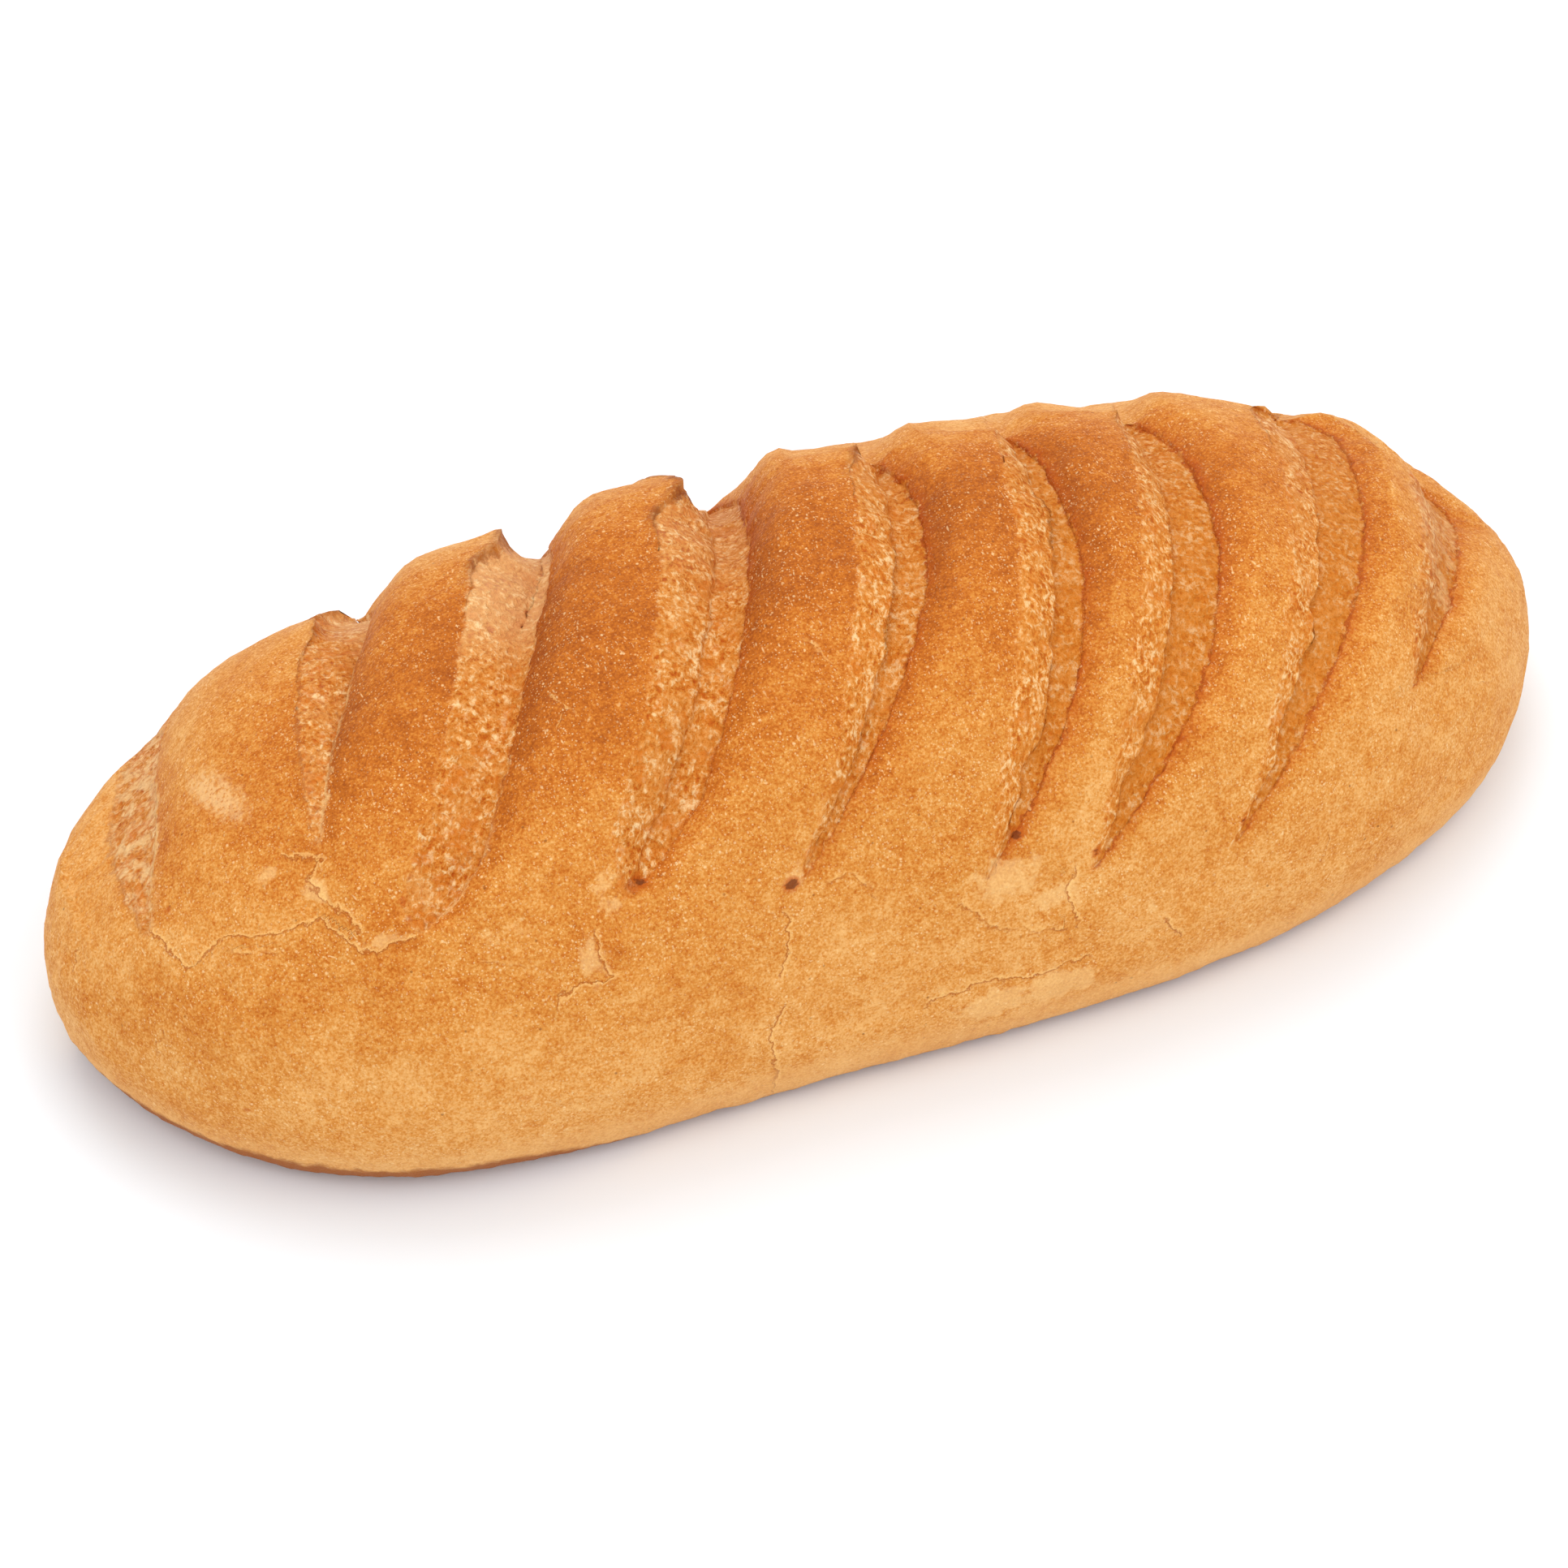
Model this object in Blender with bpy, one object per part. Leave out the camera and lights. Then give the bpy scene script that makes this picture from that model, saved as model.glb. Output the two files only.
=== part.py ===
"""A bloomer: a long white loaf with rounded ends, a flat base and nine slashes across its top.

The loaf lies along X with its base on z = 0 and its front towards -Y. A place on its dome is given by
x and by a turn about the long axis: -90 degrees is the front's widest line, 0 the ridge along the top
and +90 degrees the back's widest line. Below those lines the crust tucks in to the base.
"""

import math
from collections import namedtuple

import bmesh
import bpy
from mathutils import Vector

# The risen loaf without its slashes, in metres.
LENGTH = 0.320
WIDTH = 0.133
HEIGHT = 0.0875
WAIST = 0.020  # height of the widest line
TUCK = 0.010  # how far the base's edge lies inside the widest line
BOW = 0.0045  # how far the ends bend towards the back
SWELL = 0.0014  # how far the front wanders in and out along the loaf
SWELL_PITCH = 0.160
SWELL_PEAK = 0.045  # x of one of its swellings

# Each outline is a rounded curve 1 - |u|**inner, raised to 1 / outer. Both at 2 give an ellipse.
PLAN = (4.36, 1.65)  # seen from above
RIDGE = (1.95, 1.72)  # seen from the front
DOME = (2.28, 1.97)  # seen from the end

# A slash's middle line passes x = crest on the ridge and runs on by lean metres in each radian of turn,
# which curl changes. It goes from the turn front to the turn back, in degrees, and gapes to its full
# width within front_reach and back_reach degrees of its ends. Its torn floor lies front_depth under the
# crust in front and depth under it from the top on. The crease, a share of the width from the left, is
# where the torn band that hangs on to the left lobe ends. cut, from 0 to 1, says how high that band
# stands over the floor, and ear how far the crust curls up along the left edge. The left lobe rounds over
# into the slash: roll is the share of the depth that it has sunk by at the edge. reach is how far along
# the loaf that rounding and the right lobe's rise take. Just past the turn flare_from the left lobe's
# crust juts out over the torn band by flare.
Slash = namedtuple(
    "Slash",
    "crest lean curl front front_reach back back_reach width depth front_depth crease cut ear roll reach "
    "flare flare_from",
)
SLASHES = (
    Slash(-0.1412, 0.0040, 0.0011, -25, 70, 75, 24, 0.0130, 0.0078, 0.0028, 0.62, 0.0, 0.0, 0.65, 0.016, 0, 0),
    Slash(-0.1027, 0.0208, 0.0056, -23, 100, 62, 20, 0.0160, 0.0112, 0.0045, 0.90, 0.0, 0.4, 0.14, 0.012, 0.0025, 24),
    Slash(-0.0669, 0.0322, -0.0078, -45, 9, 72, 50, 0.0143, 0.0116, 0.0045, 0.74, 0.0, 0.8, 0.10, 0.012, 0.0045, 25),
    Slash(-0.0236, 0.0262, -0.0141, -52, 14, 68, 20, 0.0179, 0.0134, 0.0056, 0.55, 0.5, 1.0, 0.10, 0.011, 0.0065, 19),
    Slash(0.0155, 0.0232, -0.0161, -61, 56, 30, 35, 0.0154, 0.0078, 0.0054, 0.51, 0.9, 0.5, 0.12, 0.012, 0, 0),
    Slash(0.0480, 0.0160, -0.0139, -68, 35, 28, 59, 0.0154, 0.0056, 0.0050, 0.56, 0.9, 0.2, 0.12, 0.010, 0, 0),
    Slash(0.0776, 0.0175, -0.0164, -71, 38, 32, 59, 0.0187, 0.0070, 0.0052, 0.42, 0.9, 0.4, 0.12, 0.010, 0, 0),
    Slash(0.1125, 0.0199, -0.0157, -74, 62, 37, 14, 0.0194, 0.0052, 0.0048, 0.44, 0.8, 0.2, 0.12, 0.010, 0, 0),
    Slash(0.1407, 0.0103, -0.0225, -56, 22, 17, 24, 0.0150, 0.0044, 0.0034, 0.44, 0.4, 0.0, 0.30, 0.010, 0, 0),
)
CURLING_TO = 0.6  # past this turn, in radians, the slashes run on straight, by the lean below
BACK_LEAN = 0.0176
DEEPENING = (math.radians(-20), math.radians(30))  # between these a slash reaches its full depth
FRONT_ROUND = 0.9  # the lower these three, the blunter a slash's ends
BACK_ROUND = 0.5
SUNK_ROUND = 0.7
FLARE_SPAN = (0, 11, 16, 26)  # degrees past flare_from: out between the first two, back by the last
SUNK_PAST = 28  # degrees by which the lobes still stand apart behind a slash's torn part
SUNK_TO = 78  # and the turn where they have met at the latest
SUNK_REACH = 30
CLOSED_WIDTH = 0.0024  # the strip of crust that carries a slash's lines on past its ends

# How far each lobe between two slashes, and each end, stands over or under the even form.
LOBE_RISES = (-0.0008, -0.0004, 0.0005, 0.0004, -0.0007, -0.0016, -0.0020, -0.0009, 0.0008, -0.0016)

# Levels across a slash, as shares of its depth.
CLOSED_DROP = 0.60  # the left edge where the lobes meet behind the torn part
BULGE_DROP = 0.60  # the lower edge of the torn band on the left
FLOOR_DROP = 0.94  # the floor at the crease
FLOOR_END = 0.83  # the floor at the right edge
LIP_DROP = 0.73  # the right lobe's edge
STEEPENING = (0.30, 0.70)  # between these turns, in radians, the torn band gets steeper
BULGE_CURVES = (1.5, 0.35)  # its profile's power in front of them and behind them
EAR = 0.0013
EAR_REACH = 0.0022
EAR_TURNS = (0.15, 0.55)  # an ear grows between these turns, in radians

# Where the lines of the surface run: shares of a slash, of a lobe and of an end, and turns in degrees.
SLASH_LINES = (0.0, 0.06, 0.5, 0.9, 1.0, 1.12, 1.5, 1.93, 2.0)  # 1 is the crease and 2 the right edge
LOBE_LINES = (0.08, 0.20, 0.42, 0.72, 0.93)
END_LINES = 9
TURN_STEP = 5
TUCK_LINES = (1.0, 0.93, 0.8, 0.5)

CRUST_COLOUR = (0.62, 0.31, 0.10, 1.0)
CRUST_ROUGHNESS = 0.6


def rounded(share, curve):
    """A rounded outline: 1 in the middle and 0 where share is 1 or -1."""
    inner, outer = curve
    return max(0.0, 1 - abs(share) ** inner) ** (1 / outer)


def limited(value):
    return max(0.0, min(1.0, value))


def smooth(value, low, high):
    """0 below low, 1 above high and a soft step between."""
    share = limited((value - low) / (high - low))
    return share * share * (3 - 2 * share)


def plain_point(x, turn, tuck):
    """The loaf before slashing: on the dome at a turn in radians, or tuck of the way down to the base."""
    along = max(-1.0, min(1.0, 2 * x / LENGTH))
    half_width = WIDTH / 2 * rounded(along, PLAN)
    ridge = (HEIGHT - WAIST) * rounded(along, RIDGE)
    across = math.sin(turn)
    inset = TUCK * (1 - math.sqrt(1 - tuck * tuck))
    x -= along * inset
    y = half_width * across * (1 - 2 * inset / WIDTH)
    y += BOW * (along * along - 0.3)
    swelling = math.cos(2 * math.pi * (x - SWELL_PEAK) / SWELL_PITCH) * rounded(along, PLAN)
    y += SWELL * swelling * min(0.0, across)
    z = WAIST * (1 - tuck) + ridge * rounded(across, DOME)
    return Vector((x, y, z))


def outward(x, turn):
    """The dome's direction out at a point of it."""
    small = 0.001
    along = plain_point(x + small, turn, 0) - plain_point(x - small, turn, 0)
    across = plain_point(x, turn + small, 0) - plain_point(x, turn - small, 0)
    return along.cross(across).normalized()


def gape(distance, reach, round_off):
    """0 at a slash's end and 1 past its reach."""
    return math.sin(math.pi / 2 * limited(distance / reach)) ** round_off


def openness(slash, turn):
    """How wide the torn part gapes, from 0 to 1."""
    degrees = math.degrees(turn)
    opening = gape(degrees - slash.front, slash.front_reach, FRONT_ROUND)
    return opening * gape(slash.back - degrees, slash.back_reach, BACK_ROUND)


def sunk_to(slash):
    """The turn in degrees at which the lobes on both sides of a slash have met."""
    return min(slash.back + SUNK_PAST, SUNK_TO)


def sunkenness(slash, turn):
    """A slash's depth as a share of its full one. It runs on further back than the torn part."""
    degrees = math.degrees(turn)
    opening = gape(degrees - slash.front, slash.front_reach, FRONT_ROUND * SUNK_ROUND)
    opening *= gape(sunk_to(slash) - degrees, SUNK_REACH, SUNK_ROUND)
    shallow = slash.front_depth / slash.depth
    return opening * (shallow + (1 - shallow) * smooth(turn, *DEEPENING))


def slash_edges(slash, turn):
    """Where a slash's left edge, crease and right edge cross a turn."""
    held = max(math.radians(slash.front), min(math.radians(sunk_to(slash)), turn))
    curling = min(held, CURLING_TO)
    middle = slash.crest + slash.lean * curling + slash.curl * curling**2 + BACK_LEAN * (held - curling)
    half = max(CLOSED_WIDTH, slash.width * openness(slash, turn)) / 2
    left, right = middle - half, middle + half
    crease = left + slash.crease * (right - left)
    past = math.degrees(turn) - slash.flare_from
    left += slash.flare * smooth(past, *FLARE_SPAN[:2]) * (1 - smooth(past, *FLARE_SPAN[2:]))
    return left, crease, right


def torn_share(slash, turn):
    """1 where the crust has torn open and 0 where it is closed, with a soft step between."""
    return smooth(openness(slash, turn), 0.0, 0.3)


def closed_share(slash, turn):
    """1 where the lobes meet again behind a slash."""
    return (1 - torn_share(slash, turn)) * smooth(turn, 0.0, 0.5)


def left_drop(slash, turn):
    """How far the left lobe has rounded over at the slash's edge, as a share of the depth."""
    return slash.roll + (max(CLOSED_DROP, slash.roll) - slash.roll) * closed_share(slash, turn)


def ear_height(slash, turn):
    return EAR * slash.ear * smooth(turn, *EAR_TURNS) * sunkenness(slash, turn)


def flank(gap, reach, torn):
    """1 at a slash's edge and 0 past its reach. The flanks are hollow beside torn crumb, else round."""
    near = limited(gap / reach)
    return torn * (1 - near) ** 2 + (1 - torn) * (1 - near**2) ** 2


def band_relief(slash, turn, share):
    """Height over the plain loaf across the torn band on the left, from the left edge to the crease."""
    depth = slash.depth * sunkenness(slash, turn)
    start = left_drop(slash, turn)
    bulge = FLOOR_DROP - slash.cut * (FLOOR_DROP - BULGE_DROP)
    drop = max(bulge, start) - start
    steep = smooth(turn, *STEEPENING)
    power = BULGE_CURVES[0] + (BULGE_CURVES[1] - BULGE_CURVES[0]) * steep
    return -depth * (start + drop * share**power) - 0.5 * ear_height(slash, turn)


def floor_relief(slash, turn, share):
    """Height over the plain loaf across the floor, from the crease to the right edge."""
    depth = slash.depth * sunkenness(slash, turn)
    torn = torn_share(slash, turn)
    start = LIP_DROP + (FLOOR_DROP - LIP_DROP) * torn
    end = LIP_DROP + (FLOOR_END - LIP_DROP) * torn
    return -depth * (start + (end - start) * share**1.5)


def slash_relief(slash, turn, line):
    """Height over the plain loaf across a slash: line 0 is the left edge, 1 the crease, 2 the right."""
    depth = slash.depth * sunkenness(slash, turn)
    if line == 0:
        return ear_height(slash, turn) - left_drop(slash, turn) * depth
    if line == 2:
        return -LIP_DROP * depth
    if line <= 1:
        return band_relief(slash, turn, line)
    return floor_relief(slash, turn, line - 1)


def lobe_relief(before, after, turn, share, length):
    """Height over the plain loaf across a lobe, from the slash before it to the slash after it."""
    relief = 0.0
    if before:
        depth = before.depth * sunkenness(before, turn)
        relief -= LIP_DROP * depth * flank(share * length, before.reach, torn_share(before, turn))
    if after:
        gap = (1 - share) * length
        reach = after.reach * (1 + closed_share(after, turn))
        depth = after.depth * sunkenness(after, turn)
        relief -= left_drop(after, turn) * depth * flank(gap, reach, torn_share(after, turn))
        relief += ear_height(after, turn) * math.exp(-((gap / EAR_REACH) ** 2))
    return relief


def lobe_rise(number, share):
    """How a lobe stands over the even form: its own rise in the middle, and half way to each neighbour's."""
    around = (0.0,) + LOBE_RISES + (0.0,)
    before, own, after = around[number : number + 3]
    start = (before + own) / 2 if number else 0.0
    end = (own + after) / 2 if number < len(SLASHES) else 0.0
    level = start + (end - start) * share
    return level + (own - (start + end) / 2) * math.sin(math.pi * share)


def lobe_lines(number, turn):
    """(x, relief) of the lines that cross a lobe. The first and the last lobe are the loaf's ends."""
    before = SLASHES[number - 1] if number else None
    after = SLASHES[number] if number < len(SLASHES) else None
    start = slash_edges(before, turn)[2] if before else -LENGTH / 2
    end = slash_edges(after, turn)[0] if after else LENGTH / 2
    shares = LOBE_LINES
    if not before:
        shares = [1 - math.cos(math.pi / 2 * i / END_LINES) for i in range(END_LINES)]
    if not after:
        shares = [math.sin(math.pi / 2 * i / END_LINES) for i in range(1, END_LINES + 1)]
    lines = []
    for share in shares:
        relief = lobe_relief(before, after, turn, share, end - start) + lobe_rise(number, share)
        lines.append((start + share * (end - start), relief))
    return lines


def slash_lines(number, turn):
    """(x, relief) of the lines that follow a slash."""
    slash = SLASHES[number]
    left, crease, right = slash_edges(slash, turn)
    lines = []
    for line in SLASH_LINES:
        x = left + line * (crease - left) if line <= 1 else crease + (line - 1) * (right - crease)
        lines.append((x, slash_relief(slash, turn, line) + lobe_rise(number, 1)))
    return lines


def lines_at(turn):
    """(x, relief) of every line that runs over the loaf, from the left tip to the right one."""
    lines = lobe_lines(0, turn)
    for number in range(len(SLASHES)):
        lines += slash_lines(number, turn) + lobe_lines(number + 1, turn)
    return lines


def rings():
    """The loaf's rings, each a line from tip to tip, from the front base edge over to the back one."""
    side = math.pi / 2
    found = [[plain_point(x, -side, tuck) for x, _ in lines_at(-side)] for tuck in TUCK_LINES]
    for degrees in range(-90, 91, TURN_STEP):
        turn = math.radians(degrees)
        rising = math.cos(turn) ** 0.5
        found.append(
            [plain_point(x, turn, 0) + rising * relief * outward(x, turn) for x, relief in lines_at(turn)]
        )
    found += [[plain_point(x, side, tuck) for x, _ in lines_at(side)] for tuck in reversed(TUCK_LINES)]
    return found


def loaf_mesh():
    """Bridges the rings, and the last one back to the first, which closes the flat base."""
    shape = bmesh.new()
    rows = [[shape.verts.new(point) for point in ring] for ring in rings()]
    for row, following in zip(rows, rows[1:] + rows[:1]):
        for i in range(len(row) - 1):
            shape.faces.new((row[i], row[i + 1], following[i + 1], following[i]))
    bmesh.ops.remove_doubles(shape, verts=shape.verts, dist=0.00001)
    mesh = bpy.data.meshes.new("loaf")
    shape.to_mesh(mesh)
    shape.free()
    mesh.shade_smooth()
    return mesh


def crust_material():
    crust = bpy.data.materials.new("crust")
    crust.use_nodes = True
    shader = crust.node_tree.nodes["Principled BSDF"]
    shader.inputs["Base Color"].default_value = CRUST_COLOUR
    shader.inputs["Roughness"].default_value = CRUST_ROUGHNESS
    return crust


def main():
    for old in list(bpy.data.objects):
        bpy.data.objects.remove(old)
    loaf = bpy.data.objects.new("loaf", loaf_mesh())
    loaf.data.materials.append(crust_material())
    bpy.context.scene.collection.objects.link(loaf)


main()
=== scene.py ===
# %% [markdown]
# # A bloomer loaf
# A bloomer is a long white loaf with rounded ends. Its dough is slashed before it goes into the oven, and
# in the heat the slashes tear open: the smooth skin browns, and the crumb that comes up between its edges
# stays paler. This lesson dresses a plain solid of such a loaf as the real one looks. We load that solid
# first, as a fixed frame that nothing here moves or resizes.

# %% The fixed frame
import math
from collections import namedtuple

import bpy
import numpy as np
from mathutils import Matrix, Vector, noise


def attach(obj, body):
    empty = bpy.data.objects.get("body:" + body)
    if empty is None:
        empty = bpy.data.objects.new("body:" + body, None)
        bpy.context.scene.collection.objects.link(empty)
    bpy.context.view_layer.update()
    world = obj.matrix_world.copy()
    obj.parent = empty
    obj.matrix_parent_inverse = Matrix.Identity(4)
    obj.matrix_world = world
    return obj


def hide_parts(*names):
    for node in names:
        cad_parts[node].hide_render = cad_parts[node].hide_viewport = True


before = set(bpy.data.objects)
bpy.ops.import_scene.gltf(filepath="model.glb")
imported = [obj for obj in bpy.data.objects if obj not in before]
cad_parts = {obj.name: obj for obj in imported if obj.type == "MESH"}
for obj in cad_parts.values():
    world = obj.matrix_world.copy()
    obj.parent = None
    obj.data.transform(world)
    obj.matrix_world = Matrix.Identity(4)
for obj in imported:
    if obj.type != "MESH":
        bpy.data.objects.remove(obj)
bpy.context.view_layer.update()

# %% [markdown]
# ## The risen loaf
# Seen from above, from the front and from the end, the loaf's outlines are all rounded curves, fuller than
# an ellipse. One short formula gives all three: 1 - |u|**inner, raised to 1 / outer, which is an ellipse
# where both are 2. A place on the loaf is given by x and by a turn about the long axis, from -90 degrees
# at the front's widest line over 0 at the ridge to +90 degrees at the back. The sizes are the solid's own.

# %% The plain form
LENGTH = 0.320
WIDTH = 0.133
HEIGHT = 0.0875
WAIST = 0.020  # height of the widest line
TUCK = 0.010  # how far the base's edge lies inside the widest line
BOW = 0.0045  # how far the ends bend towards the back
SWELL = 0.0014  # how far the front wanders in and out along the loaf
SWELL_PITCH = 0.160
SWELL_PEAK = 0.045
PLAN = (4.36, 1.65)
RIDGE = (1.95, 1.72)
DOME = (2.28, 1.97)
DOME_RADIUS = 0.065  # about how far the top's skin is from the turning axis


def rounded(share, curve):
    """A rounded outline: 1 in the middle and 0 where share is 1 or -1."""
    inner, outer = curve
    return np.maximum(0.0, 1 - np.abs(share) ** inner) ** (1 / outer)


def plain_places(x, turn, tuck, spread):
    """Points of the unslashed loaf. tuck goes down to the base and spread in to its middle line."""
    along = np.clip(2 * x / LENGTH, -1, 1)
    across = np.sin(turn)
    inset = TUCK * (1 - np.sqrt(1 - tuck * tuck))
    x = x - along * inset
    y = WIDTH / 2 * rounded(along, PLAN) * across * (1 - 2 * inset / WIDTH)
    swelling = np.cos(2 * np.pi * (x - SWELL_PEAK) / SWELL_PITCH) * rounded(along, PLAN)
    y = (y + SWELL * swelling * np.minimum(0.0, across)) * spread
    y = y + BOW * (along * along - 0.3)
    z = WAIST * (1 - tuck) + (HEIGHT - WAIST) * rounded(along, RIDGE) * rounded(across, DOME)
    return np.stack([x, y, z + 0 * x], axis=-1)


def outward(x, turn):
    """The dome's direction out at its points."""
    small = 0.001
    flat = 0 * x
    along = plain_places(x + small, turn, flat, 1) - plain_places(x - small, turn, flat, 1)
    across = plain_places(x, turn + small, flat, 1) - plain_places(x, turn - small, flat, 1)
    out = np.cross(along, across)
    return out / np.maximum(1e-12, np.linalg.norm(out, axis=-1, keepdims=True))


# %% [markdown]
# ## The slashes
# Nine cuts cross the top. Each is a curve on the dome, given by where it passes the ridge, how it leans and
# curls, where it ends and how wide it gapes. Inside, the crumb has torn twice: a bulging band that hangs
# on to the left lobe, and a lower, spongy band that belongs to the right one. Between them runs the
# crease, a ragged edge that casts a thin shadow. A little noise makes each of these lines wander. Over
# three slashes a corner of crust juts out near the top, where the left edge flares over the torn band.

# %% The lines of the slashes
Slash = namedtuple("Slash", "crest lean curl front front_reach back back_reach width depth front_depth "
                            "crease cut step ear roll reach flare flare_from")
SLASHES = (  # its course and ends, and below them its cross-section, in metres and degrees
    Slash(-0.1412, 0.0040, 0.0011, -25, 70, 75, 24,
          0.0130, 0.0078, 0.0028, 0.62, 0.0, 0.45, 0.0, 0.65, 0.016, 0.0, 0),
    Slash(-0.1027, 0.0208, 0.0056, -23, 100, 62, 20,
          0.0160, 0.0112, 0.0045, 0.90, 0.0, 0.6, 0.4, 0.14, 0.012, 0.0025, 24),
    Slash(-0.0669, 0.0322, -0.0078, -45, 9, 72, 50,
          0.0143, 0.0116, 0.0045, 0.74, 0.0, 0.0, 0.8, 0.10, 0.012, 0.0045, 25),
    Slash(-0.0236, 0.0262, -0.0141, -52, 14, 68, 20,
          0.0179, 0.0134, 0.0056, 0.55, 0.5, 0.0, 1.0, 0.10, 0.011, 0.0065, 19),
    Slash(0.0155, 0.0232, -0.0161, -61, 56, 30, 35,
          0.0154, 0.0078, 0.0054, 0.51, 0.9, 0.0, 0.5, 0.12, 0.012, 0.0, 0),
    Slash(0.0480, 0.0160, -0.0139, -68, 35, 28, 59,
          0.0154, 0.0056, 0.0050, 0.56, 0.9, 0.0, 0.2, 0.12, 0.010, 0.0, 0),
    Slash(0.0776, 0.0175, -0.0164, -71, 38, 32, 59,
          0.0187, 0.0070, 0.0052, 0.42, 0.9, 0.0, 0.4, 0.12, 0.010, 0.0, 0),
    Slash(0.1125, 0.0199, -0.0157, -74, 62, 37, 14,
          0.0194, 0.0052, 0.0048, 0.44, 0.8, 0.0, 0.2, 0.12, 0.010, 0.0, 0),
    Slash(0.1407, 0.0103, -0.0225, -56, 22, 17, 24,
          0.0150, 0.0044, 0.0034, 0.44, 0.4, 0.0, 0.0, 0.30, 0.010, 0.0, 0),
)
CURLING_TO = 0.6  # past this turn, in radians, the slashes run on straight
BACK_LEAN = 0.0176
DEEPENING = (math.radians(-20), math.radians(30))  # a slash grows from its front depth to its full one
FRONT_ROUND = 0.9  # the lower, the blunter a slash's end
BACK_ROUND = 0.5
SUNK_ROUND = 0.7
FLARE_SPAN = (0, 11, 16, 26)  # degrees past flare_from where the crust's edge flares over the crumb and back
SUNK_PAST = 28  # degrees by which the lobes still stand apart behind a slash's torn part
SUNK_TO = 78  # and the turn where they have met at the latest
SUNK_REACH = 30
CLOSED_WIDTH = 0.0007
LOOSE_WIDTHS = (0.004, 0.010)  # between these widths of a slash its lines begin to wander
LEFT_WANDER = (0.0010, 0.005, 10)  # how far a line wanders, its pitch along the slash, and a seed
RIGHT_WANDER = (0.0007, 0.004, 20)
CREASE_WANDERS = ((0.0011, 0.010, 30), (0.0010, 0.0035, 40))
LOBE_RISES = (-0.0008, -0.0004, 0.0005, 0.0004, -0.0007, -0.0016, -0.0020, -0.0009, 0.0008, -0.0016)


def smooth(value, low, high):
    """0 below low, 1 above high and a soft step between."""
    share = np.clip((value - low) / (high - low), 0, 1)
    return share * share * (3 - 2 * share)


def noise_at(points, pitch, seed):
    """Smooth noise, about -1 to 1, whose bumps are about pitch metres apart."""
    scaled = np.asarray(points).reshape(-1, 3) / pitch + (7.3 * seed, 3.1 * seed, 1.9 * seed)
    found = [noise.noise(point) for point in scaled.tolist()]
    return np.array(found).reshape(np.shape(points)[:-1])


def wander(turn, pitch, seed):
    """Noise along a slash, for its turns in radians."""
    return noise_at(np.stack([turn * DOME_RADIUS, 0 * turn, 0 * turn], axis=-1), pitch, seed)


def gape(distance, reach, round_off):
    """0 at a slash's end and 1 past its reach."""
    return np.sin(np.pi / 2 * np.clip(distance / reach, 0, 1)) ** round_off


def openness(slash, turn):
    """How wide the torn part gapes, from 0 to 1."""
    degrees = np.degrees(turn)
    opening = gape(degrees - slash.front, slash.front_reach, FRONT_ROUND)
    return opening * gape(slash.back - degrees, slash.back_reach, BACK_ROUND)


def sunk_to(slash):
    """The turn in degrees at which the lobes on both sides of a slash have met."""
    return min(slash.back + SUNK_PAST, SUNK_TO)


def sunkenness(slash, turn):
    """A slash's depth as a share of its full one. It runs on further back than the torn part."""
    degrees = np.degrees(turn)
    opening = gape(degrees - slash.front, slash.front_reach, FRONT_ROUND * SUNK_ROUND)
    opening = opening * gape(sunk_to(slash) - degrees, SUNK_REACH, SUNK_ROUND)
    shallow = slash.front_depth / slash.depth
    return opening * (shallow + (1 - shallow) * smooth(turn, *DEEPENING))


def slash_edges(number, turn):
    """Where a slash's left edge, crease and right edge cross each turn."""
    slash = SLASHES[number]
    held = np.clip(turn, math.radians(slash.front), math.radians(sunk_to(slash)))
    curling = np.minimum(held, CURLING_TO)
    middle = slash.crest + slash.lean * curling + slash.curl * curling * curling + BACK_LEAN * (held - curling)
    width = np.maximum(CLOSED_WIDTH, slash.width * openness(slash, turn))
    loose = smooth(width, *LOOSE_WIDTHS)

    def wandering(reach, pitch, seed):
        return reach * wander(turn, pitch, seed + number)

    left = middle - width / 2 + loose * wandering(*LEFT_WANDER)
    right = middle + width / 2 + loose * wandering(*RIGHT_WANDER)
    ragged = sum(wandering(*row) for row in CREASE_WANDERS)
    crease = left + slash.crease * (right - left) + loose * ragged
    past = np.degrees(turn) - slash.flare_from
    left = left + slash.flare * smooth(past, *FLARE_SPAN[:2]) * (1 - smooth(past, *FLARE_SPAN[2:]))
    return left, crease, right


for number, slash in enumerate(SLASHES):
    print("slash", number + 1, "gapes", round(1000 * slash.width, 1), "mm and is", 1000 * slash.depth, "deep")

# %% [markdown]
# ## How high the surface stands across a slash
# We describe one cross-section of a slash and use it for all nine. From left to right it crosses four
# zones: the left lobe's crust, which curls up into a dark ear near the top of the loaf; the bulging band;
# the spongy band, which starts a step lower; and the right lobe, which starts another small step up and
# rises from there. All heights follow the slash's own depth, so shallow ends fade out by themselves.

# %% The cross-section
CRUST_LEFT, BULGING, SPONGY, CRUST_RIGHT = range(4)
CLOSED_DROP = 0.60  # these five are shares of the slash's depth
BULGE_DROP = 0.60
FLOOR_DROP = 0.94
FLOOR_END = 0.83
LIP_DROP = 0.73
STEEPENING = (0.30, 0.70)  # between these turns, in radians, the bulging band gets steeper
BULGE_POWERS = (1.5, 0.35)  # from this curve to this one: the lower, the steeper next to the ear
FOLD_TURNS = (0.0, 0.5)  # past these, in radians, a slash that has closed is a soft fold
FLOOR_HOLLOW = 0.05  # how far the spongy band sags, as a share of the depth
EAR = 0.0013
EAR_REACH = 0.0022
EAR_TURNS = (0.15, 0.55)  # an ear grows between these turns, in radians
UNDERCUT = 0.0004  # how far the band starts behind a full ear's edge


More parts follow.
